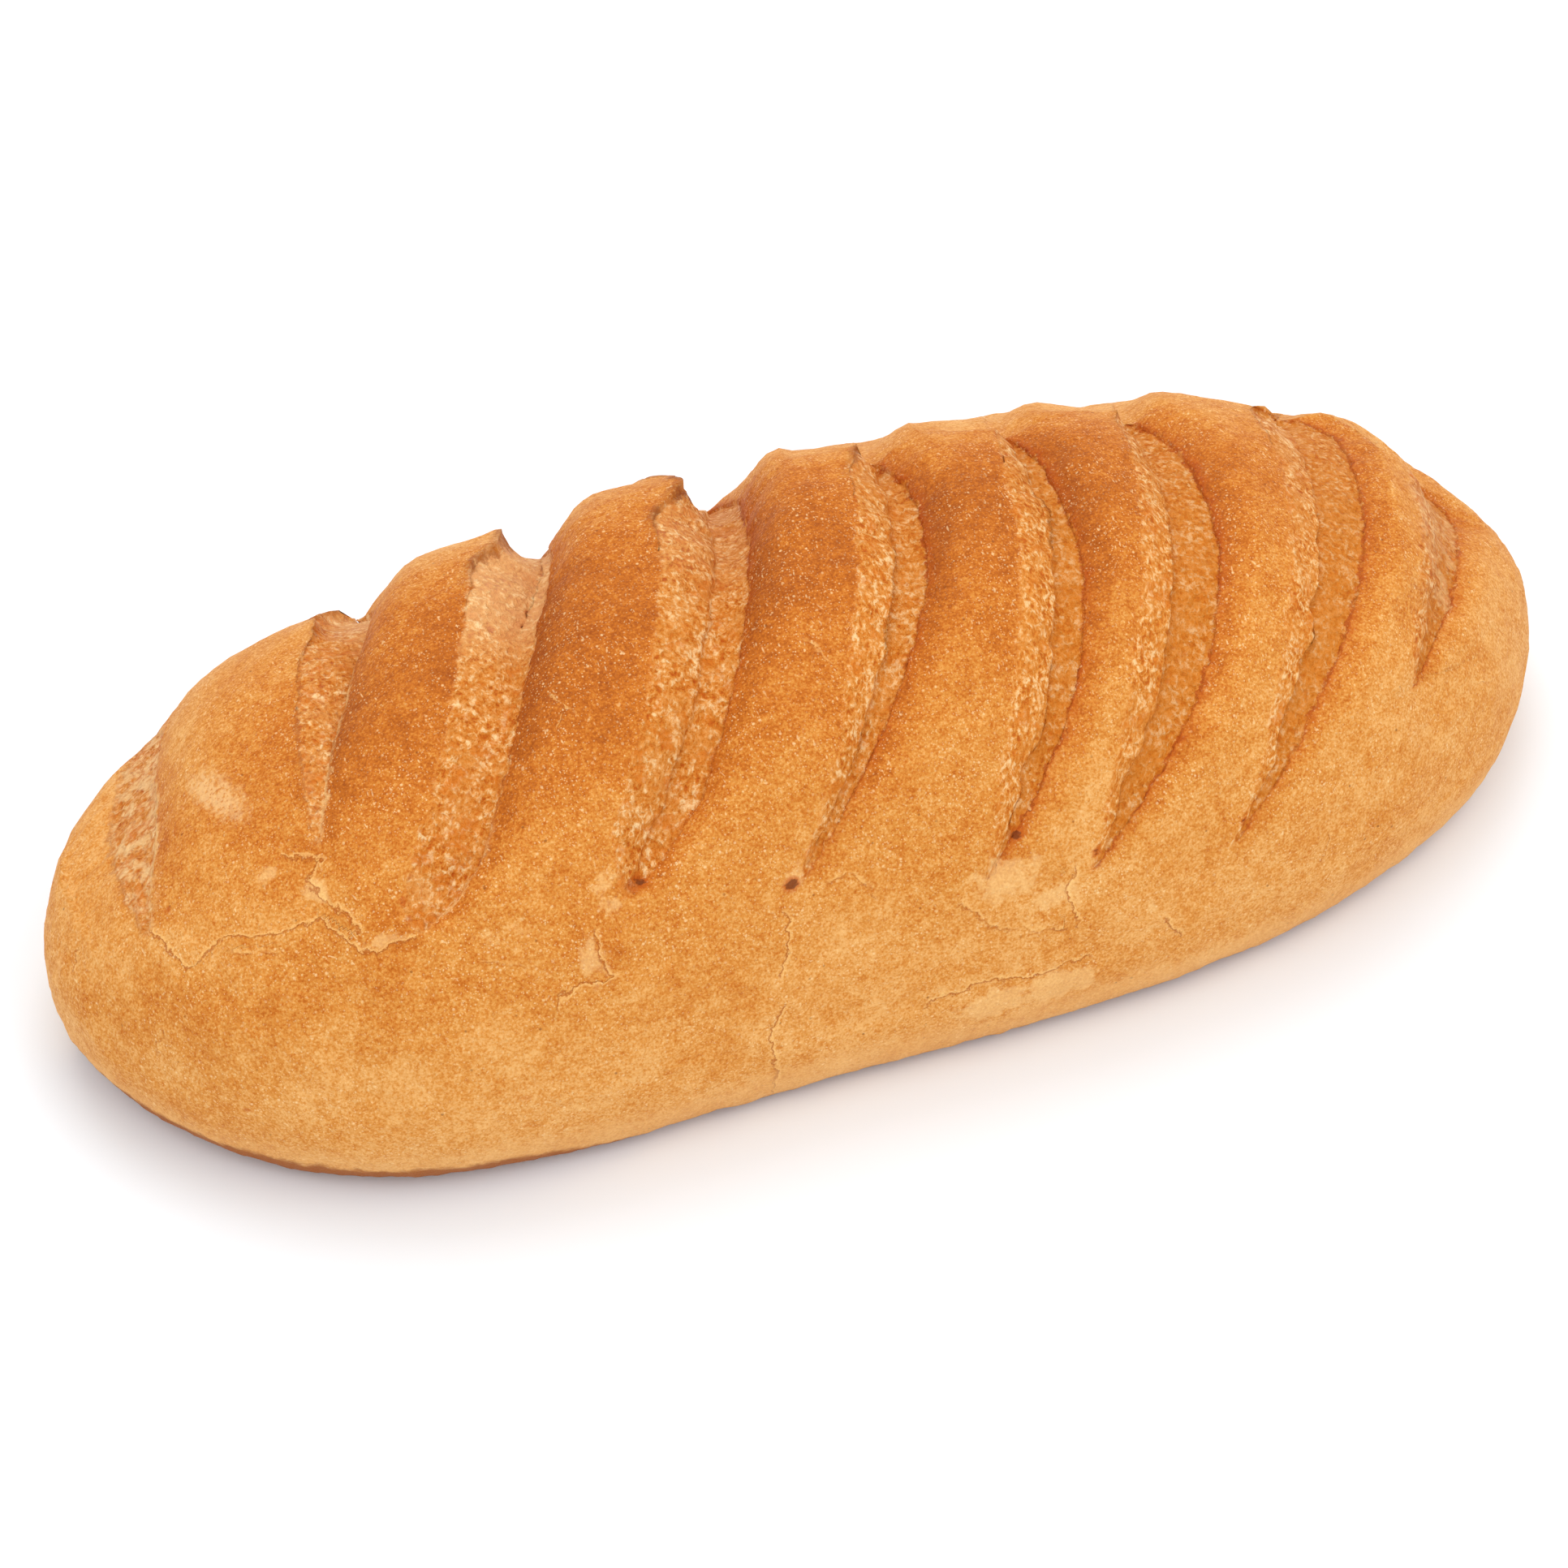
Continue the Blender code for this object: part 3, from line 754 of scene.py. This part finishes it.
def baked_skin_group():
    tree, given, made = new_group("baked skin", [("Place", "Vector"), ("Bake", "Float")],
                                  [("Color", "Color"), ("Height", "Float")])
    place = given["Place"]
    brown = given["Bake"]
    for scale, detail, strength in ((30, 1, 0.6), (110, 2, 0.9), (450, 3, 1.2), (1800, 2, 1.9)):
        spread = calc(tree, "SUBTRACT", noise_node(tree, place, scale, detail, 0.6), 0.5)
        brown = calc(tree, "MULTIPLY_ADD", spread, strength, brown)
    colour = ramp(tree, soft_step(tree, brown, -0.9, 1.9), [
        (0.00, tone(236, 180, 110)), (0.32, tone(214, 141, 60)), (0.62, tone(194, 107, 28)),
        (1.00, tone(152, 72, 14))])
    bent = bend(tree, place, place, 120, 0.006)
    drawn = put(tree, "ShaderNodeMapping", {"Vector": bent, "Rotation": (0.5, 0.3, 0.6),
                                            "Scale": (1.0, 0.3, 1.0)}).outputs[0]
    height = calc(tree, "MULTIPLY_ADD", noise_node(tree, place, 1300, 3, 0.6), 0.9, -0.45)
    crowded = soft_step(tree, noise_node(tree, place, 90, 2), 0.35, 0.65, 0.4, 1.0)
    blisters = speckles(tree, place, 900, 0.24, 0.8)
    height = calc(tree, "MULTIPLY_ADD", blisters, 0.12, height)
    spots = ((speckles(tree, place, 460, 0.18, 0.9), 0.60), (blisters, 0.55),
             (speckles(tree, place, 1900, 0.34, 0.6), 0.50), (speckles(tree, drawn, 900, 0.22, 0.6), 0.55))
    for spot, strength in spots:
        colour = stain(tree, colour, (252, 216, 160), spot, strength, crowded)
    colour = stain(tree, colour, (120, 62, 24), speckles(tree, place, 300, 0.12, 0.3), 0.6)
    tree.links.new(colour, made["Color"])
    tree.links.new(height, made["Height"])
    return tree


# %% [markdown]
# ## The torn crumb
# Torn crumb is all short curly fibres that slant across the band, cream on their backs and orange between,
# with softer orange blotches. Stretching noise along the slant gives the fibres, and bending its
# coordinates by another noise curls them. At the ends of the loaf the crumb is open, with pores and
# creamy patches, the bands on the right are richer in colour, and the lower parts of the bulging ones are
# silkier, so these three are inputs.

# %% Node group: torn crumb
FIBRE_SLANT = 0.4  # radians between the fibres and the band
FIBRE_SQUEEZE = 0.45  # the lower, the longer the fibres


def crumb_group():
    tree, given, made = new_group("torn crumb", [("Band", "Vector"), ("Place", "Vector"), ("Open", "Float"),
                                                 ("Rich", "Float"), ("Silky", "Float")],
                                  [("Color", "Color"), ("Height", "Float")])
    place, silky, rich, is_open = given["Place"], given["Silky"], given["Rich"], given["Open"]
    rough = calc(tree, "MULTIPLY_ADD", silky, -0.15, 1.0)
    turned = put(tree, "ShaderNodeMapping", {"Vector": given["Band"], "Rotation": (0, 0, -FIBRE_SLANT)})
    turned = bend(tree, turned.outputs[0], place, 420, 0.0018)
    drawn = put(tree, "ShaderNodeMapping", {"Vector": turned, "Scale": (1.0, FIBRE_SQUEEZE, 1.0)}).outputs[0]
    curly = bend(tree, place, place, 500, 0.0013)
    strands = noise_node(tree, drawn, 1500, 2, 0.6)
    tufts = noise_node(tree, curly, 750, 4, 0.68)
    patches = noise_node(tree, place, 230, 4, 0.6)
    level = times(tree, strands, 0.28)
    level = calc(tree, "MULTIPLY_ADD", tufts, 0.50, level)
    level = calc(tree, "MULTIPLY_ADD", patches, 0.22, level)
    calm = soft_step(tree, noise_node(tree, place, 140, 2), 0.35, 0.65, 0.85, 1.35)
    strand_swing = calc(tree, "SUBTRACT", strands, 0.5)
    level = calc(tree, "MULTIPLY_ADD", strand_swing, times(tree, silky, 0.3), level)
    calm = times(tree, calm, rough)
    level = calc(tree, "MULTIPLY_ADD", calc(tree, "SUBTRACT", level, 0.5), calm, 0.5)
    colour = ramp(tree, soft_step(tree, level, 0.33, 0.67), [
        (0.0, tone(182, 80, 8)), (0.3, tone(206, 122, 38)), (0.62, tone(221, 148, 74)),
        (1.0, tone(246, 206, 150))])
    blotch = soft_step(tree, noise_node(tree, curly, 210, 3, 0.6), 0.53, 0.63)
    colour = stain(tree, colour, (208, 112, 26), blotch, calc(tree, "MULTIPLY_ADD", rich, -0.35, 0.55))
    cells = put(tree, "ShaderNodeTexVoronoi", {"Vector": curly, "Scale": 520.0})
    chosen = put(tree, "ShaderNodeSeparateColor", {"Color": cells.outputs["Color"]}).outputs[0]
    hole = soft_step(tree, cells.outputs["Distance"], 0.42, 0.12)
    porous = calc(tree, "MULTIPLY_ADD", is_open, 0.15, calc(tree, "MULTIPLY_ADD", rich, 0.45, 0.2))
    hollow = times(tree, hole, soft_step(tree, chosen, 0.35, 0.55), porous, rough)
    colour = stain(tree, colour, (190, 96, 28), hollow)
    colour = stain(tree, colour, (198, 112, 20), rich, 0.45)
    colour = stain(tree, colour, (234, 152, 56), silky, 0.12)
    cream = soft_step(tree, noise_node(tree, curly, 260, 4, 0.65), 0.42, 0.62)
    colour = stain(tree, colour, (244, 202, 142), cream, calc(tree, "ADD", is_open, -0.9))
    opened = calc(tree, "MINIMUM", is_open, 1.0)
    off_arc = calc(tree, "ABSOLUTE", calc(tree, "SUBTRACT", noise_node(tree, curly, 300, 2), 0.5))
    arc = soft_step(tree, off_arc, 0.06, 0.015)
    colour = stain(tree, colour, (204, 106, 24), arc, soft_step(tree, patches, 0.46, 0.54), opened, 0.5)
    colour = stain(tree, colour, (170, 88, 28), speckles(tree, curly, 620, 0.36, 0.45), opened, 0.5)
    tree.links.new(colour, made["Color"])
    height = times(tree, calc(tree, "SUBTRACT", tufts, 0.5), times(tree, rough, 1.9))
    height = calc(tree, "MULTIPLY_ADD", strand_swing, 0.7, height)
    tree.links.new(calc(tree, "MULTIPLY_ADD", hollow, -0.6, height), made["Height"])
    return tree


# %% [markdown]
# ## The loaf's material
# One Principled shader carries the whole skin. The attributes choose which group shows where, and noise
# frays each border, because no line on bread is drawn with a ruler. On top come thin stains: the borders
# of the slashes, the flaws, the paler tuck, the dark rim round the base, and the sole, which the tray
# has baked mottled brown and dusted with flour. Some of it is painted light: a painted sheen on the
# crumb near the top, painted shade along the creases and painted shadows beside the cracks.

# %% The material
BUMP_DEPTH = 0.0005


def loaf_material():
    material = bpy.data.materials.new("bloomer_crust")
    material.use_nodes = True
    tree = material.node_tree
    shader = tree.nodes["Principled BSDF"]
    place = put(tree, "ShaderNodeTexCoord").outputs["Object"]
    band = put(tree, "ShaderNodeUVMap", uv_map="bands").outputs[0]

    def mask(name):
        return put(tree, "ShaderNodeAttribute", attribute_name=name).outputs["Fac"]

    noises = {}

    def grain(scale, detail, reach):
        """Noise from about -reach / 2 to reach / 2. Masks that may share a noise do, to keep the render quick."""
        if (scale, detail) not in noises:
            noises[scale, detail] = calc(tree, "SUBTRACT", noise_node(tree, place, scale, detail, 0.65), 0.5)
        return times(tree, noises[scale, detail], reach)

    def frayed(name, noise, low, high):
        """A mask with a ragged border. noise is what grain() takes."""
        return soft_step(tree, calc(tree, "ADD", mask(name), grain(*noise)), low, high)

    fray = calc(tree, "ADD", grain(380, 4, 4.5), grain(1500, 2, 1.2))
    inside = calc(tree, "ADD", mask("inside"), fray)
    near_right = soft_step(tree, mask("side"), 0.5, 0.8)
    live_right = times(tree, mask("live"), near_right)
    beyond = times(tree, soft_step(tree, inside, -9.0, -0.5), live_right)
    bake = calc(tree, "MULTIPLY_ADD", beyond, 0.35, mask("bake"))
    skin = use_group(tree, baked_skin_group(), {"Place": place, "Bake": bake})
    edge = soft_step(tree, near_right, 0.0, 1.0, 0.7, 0.2)
    torn = soft_step(tree, inside, times(tree, edge, -1.0), edge)
    torn = times(tree, torn, soft_step(tree, mask("live"), 0.1, 0.6))
    past = calc(tree, "ADD", mask("past_crease"), grain(500, 4, 2.4))
    spongy = soft_step(tree, past, -0.1, 0.2)
    rich = times(tree, spongy, mask("rich"))
    silky = times(tree, mask("silky"), calc(tree, "SUBTRACT", 1.0, spongy))
    crumb = use_group(tree, crumb_group(), {"Band": band, "Place": place, "Open": mask("porous"), "Rich": rich,
                                            "Silky": silky})
    # painted sheen: the crumb is lightened towards cream near the top of the loaf
    crumb_colour = stain(tree, crumb["Color"], (248, 204, 146), mask("painted_sheen_crumb"), 0.35)
    colour = mix_colour(tree, torn, skin["Color"], crumb_colour)

    uneven = soft_step(tree, noise_node(tree, place, 120, 3, 0.6), 0.35, 0.6, 0.3, 1.0)

    def line(distance, before, after, strength, *shares):
        """A soft line along distance 0, as wide before it and after it as given in mm."""
        rising = soft_step(tree, distance, -before, 0.0)
        return times(tree, rising, soft_step(tree, distance, after, 0.0), *shares, strength)

    bordered = times(tree, live_right, mask("rim"))
    colour = stain(tree, colour, (188, 84, 16), line(inside, 2.6, 0.6, 0.40, uneven, bordered))
    colour = stain(tree, colour, (168, 70, 12), line(inside, 0.6, 0.5, 0.70, uneven, bordered))
    near_left = calc(tree, "SUBTRACT", 1.0, near_right)
    eared = times(tree, mask("live"), near_left, mask("ear"))
    open_crumb = mask("open_crumb")
    closed_crumb = calc(tree, "SUBTRACT", 1.0, open_crumb)
    colour = stain(tree, colour, (124, 50, 12), line(inside, 2.6, 1.0, 1.1, eared, uneven, closed_crumb))
    dotted = soft_step(tree, noise_node(tree, place, 500, 3, 0.6), 0.40, 0.52, 0.2, 1.0)
    colour = stain(tree, colour, (150, 74, 24), line(inside, 0.9, 0.5, 0.8, eared, dotted, open_crumb))
    colour = stain(tree, colour, (246, 200, 132), line(inside, 1.3, 0.5, 0.75, live_right, uneven, open_crumb))
    # painted shade: a broken brown line darkens the crease under the bulging band's torn edge
    broken_crease_shade = soft_step(tree, noise_node(tree, place, 240, 3, 0.6), 0.42, 0.6, 0.1, 1.0)
    colour = stain(tree, colour, (184, 94, 26), line(past, 0.2, 0.6, 0.45, torn, broken_crease_shade, mask("cut")))

    rubbed = frayed("scuff", (600, 4, 0.9), 0.25, 0.75)
    pitted = soft_step(tree, noise_node(tree, place, 1100, 2, 0.6), 0.36, 0.5, 0.15, 0.62)
    colour = stain(tree, colour, (240, 196, 136), rubbed, pitted)
    flaked = frayed("pale", (260, 5, 1.9), 0.40, 0.75)
    colour = stain(tree, colour, (247, 202, 136), flaked, 0.42)
    scorched = frayed("burnt", (600, 4, 1.0), 0.3, 0.8)
    colour = stain(tree, colour, (186, 86, 16), scorched, 0.75)
    charred = frayed("burnt", (600, 4, 0.9), 0.75, 0.95)
    colour = stain(tree, colour, (98, 44, 18), charred, 0.75)
    crack_place = calc(tree, "ADD", mask("crack_off"), grain(260, 5, 6.0))
    cracked = frayed("crack_on", (400, 2, 1.4), 0.3, 0.9)
    # each crack gets a pale lip of peeled skin, partly a painted highlight, and beside it a dark line that is a
    # painted shadow
    lip_and_highlight = line(calc(tree, "ADD", crack_place, -0.5), 0.5, 0.6, 0.55, cracked)
    colour = stain(tree, colour, (247, 196, 122), lip_and_highlight)
    crack_shade = line(crack_place, 0.35, 0.3, 1.0, cracked)
    colour = stain(tree, colour, (176, 90, 30), crack_shade, 0.75)
    under = frayed("tuck", (200, 4, 0.5), 0.1, 0.5)
    colour = stain(tree, colour, (244, 190, 122), under, 0.35)
    for rim in (frayed("tuck", (200, 4, 0.25), 0.80, 0.93), frayed("scorched_base", (200, 4, 0.25), 0.50, 0.62)):
        colour = stain(tree, colour, (150, 74, 22), rim, 0.85)
    sole = frayed("sole", (600, 4, 0.6), 0.5, 0.9)
    baked_sole = ramp(tree, noise_node(tree, place, 60, 6, 0.7), [
        (0.32, tone(142, 70, 24)), (0.5, tone(176, 100, 44)), (0.68, tone(208, 140, 78))])
    floured = soft_step(tree, noise_node(tree, place, 420, 4, 0.7), 0.52, 0.66, 0.0, 0.5)
    baked_sole = stain(tree, baked_sole, (228, 180, 122), floured)
    baked_sole = stain(tree, baked_sole, (116, 54, 18), speckles(tree, place, 170, 0.3, 0.5), 0.6)
    colour = mix_colour(tree, times(tree, sole, 0.9), colour, baked_sole)
    tree.links.new(colour, shader.inputs["Base Color"])

    height = mix_colour(tree, torn, skin["Height"], crumb["Height"])
    height = calc(tree, "MULTIPLY_ADD", crack_shade, -0.2, height)
    bump = put(tree, "ShaderNodeBump", {"Strength": 1.0, "Distance": BUMP_DEPTH, "Height": height})
    tree.links.new(bump.outputs[0], shader.inputs["Normal"])
    shader.inputs["Roughness"].default_value = 0.6
    shader.inputs["Specular IOR Level"].default_value = 0.12
    return material


loaf.data.materials.append(loaf_material())
print("the loaf's material has", len(loaf.data.materials[0].node_tree.nodes), "nodes")

# %% [markdown]
# ## The studio
# The loaf stands on a plain pale floor in soft light: a bright, even surround and large lamps, one in
# front on each side and one over the back, which puts a faint gloss on the tops of the lobes.

# %% Floor, world and lamps
deselect()
bpy.ops.mesh.primitive_plane_add(size=6, location=(0, 0, 0))
floor = bpy.context.object
floor.name = "studio_floor"
paper = bpy.data.materials.new("studio_paper")
paper.use_nodes = True
paper_shader = paper.node_tree.nodes["Principled BSDF"]
paper_shader.inputs["Base Color"].default_value = (0.87, 0.91, 0.95, 1)
paper_shader.inputs["Roughness"].default_value = 0.9
floor.data.materials.append(paper)

world = bpy.data.worlds.new("studio")
bpy.context.scene.world = world
world.use_nodes = True
surround = world.node_tree.nodes["Background"]
surround.inputs["Color"].default_value = (1, 1, 1, 1)
surround.inputs["Strength"].default_value = 0.85


def lamp(name, azimuth, elevation, distance, size, power):
    """A square soft lamp that faces the loaf. Azimuth 0 is in front, 90 to the right."""
    turn, rise = math.radians(azimuth), math.radians(elevation)
    back = Vector((math.sin(turn) * math.cos(rise), -math.cos(turn) * math.cos(rise), math.sin(rise)))
    light = bpy.data.lights.new(name, "AREA")
    light.shape, light.size, light.energy = "SQUARE", size, power
    made = bpy.data.objects.new(name, light)
    made.location = back * distance
    made.rotation_euler = (-back).to_track_quat("-Z", "Y").to_euler()
    bpy.context.scene.collection.objects.link(made)


lamp("lamp_left", -50, 50, 1.5, 1.2, 4)
lamp("lamp_right", 40, 50, 1.5, 1.2, 6)
lamp("lamp_back", 170, 60, 1.5, 1.0, 7)

# %% [markdown]
# ## The camera
# It stands in front and a little to the left, looks down at 45 degrees, and takes the whole loaf in from
# just under a metre. These came from fitting the loaf's outline to the photograph.

# %% The camera
VIEW_AZIMUTH = math.radians(-22.0)
VIEW_ELEVATION = math.radians(45)
AIM = Vector((0, 0, 0.04))
DISTANCE = 0.93
LENS = 106.41
SHIFT = (-0.01998, -0.04834)
back = Vector((math.sin(VIEW_AZIMUTH) * math.cos(VIEW_ELEVATION),
               -math.cos(VIEW_AZIMUTH) * math.cos(VIEW_ELEVATION), math.sin(VIEW_ELEVATION)))
deselect()
bpy.ops.object.camera_add(location=AIM + back * DISTANCE)
camera = bpy.context.object
camera.rotation_euler = (-back).to_track_quat("-Z", "Y").to_euler()
camera.data.lens = LENS
camera.data.shift_x, camera.data.shift_y = SHIFT
bpy.context.scene.camera = camera
bpy.context.scene.view_settings.view_transform = "Standard"

# %% The end
bpy.context.view_layer.update()
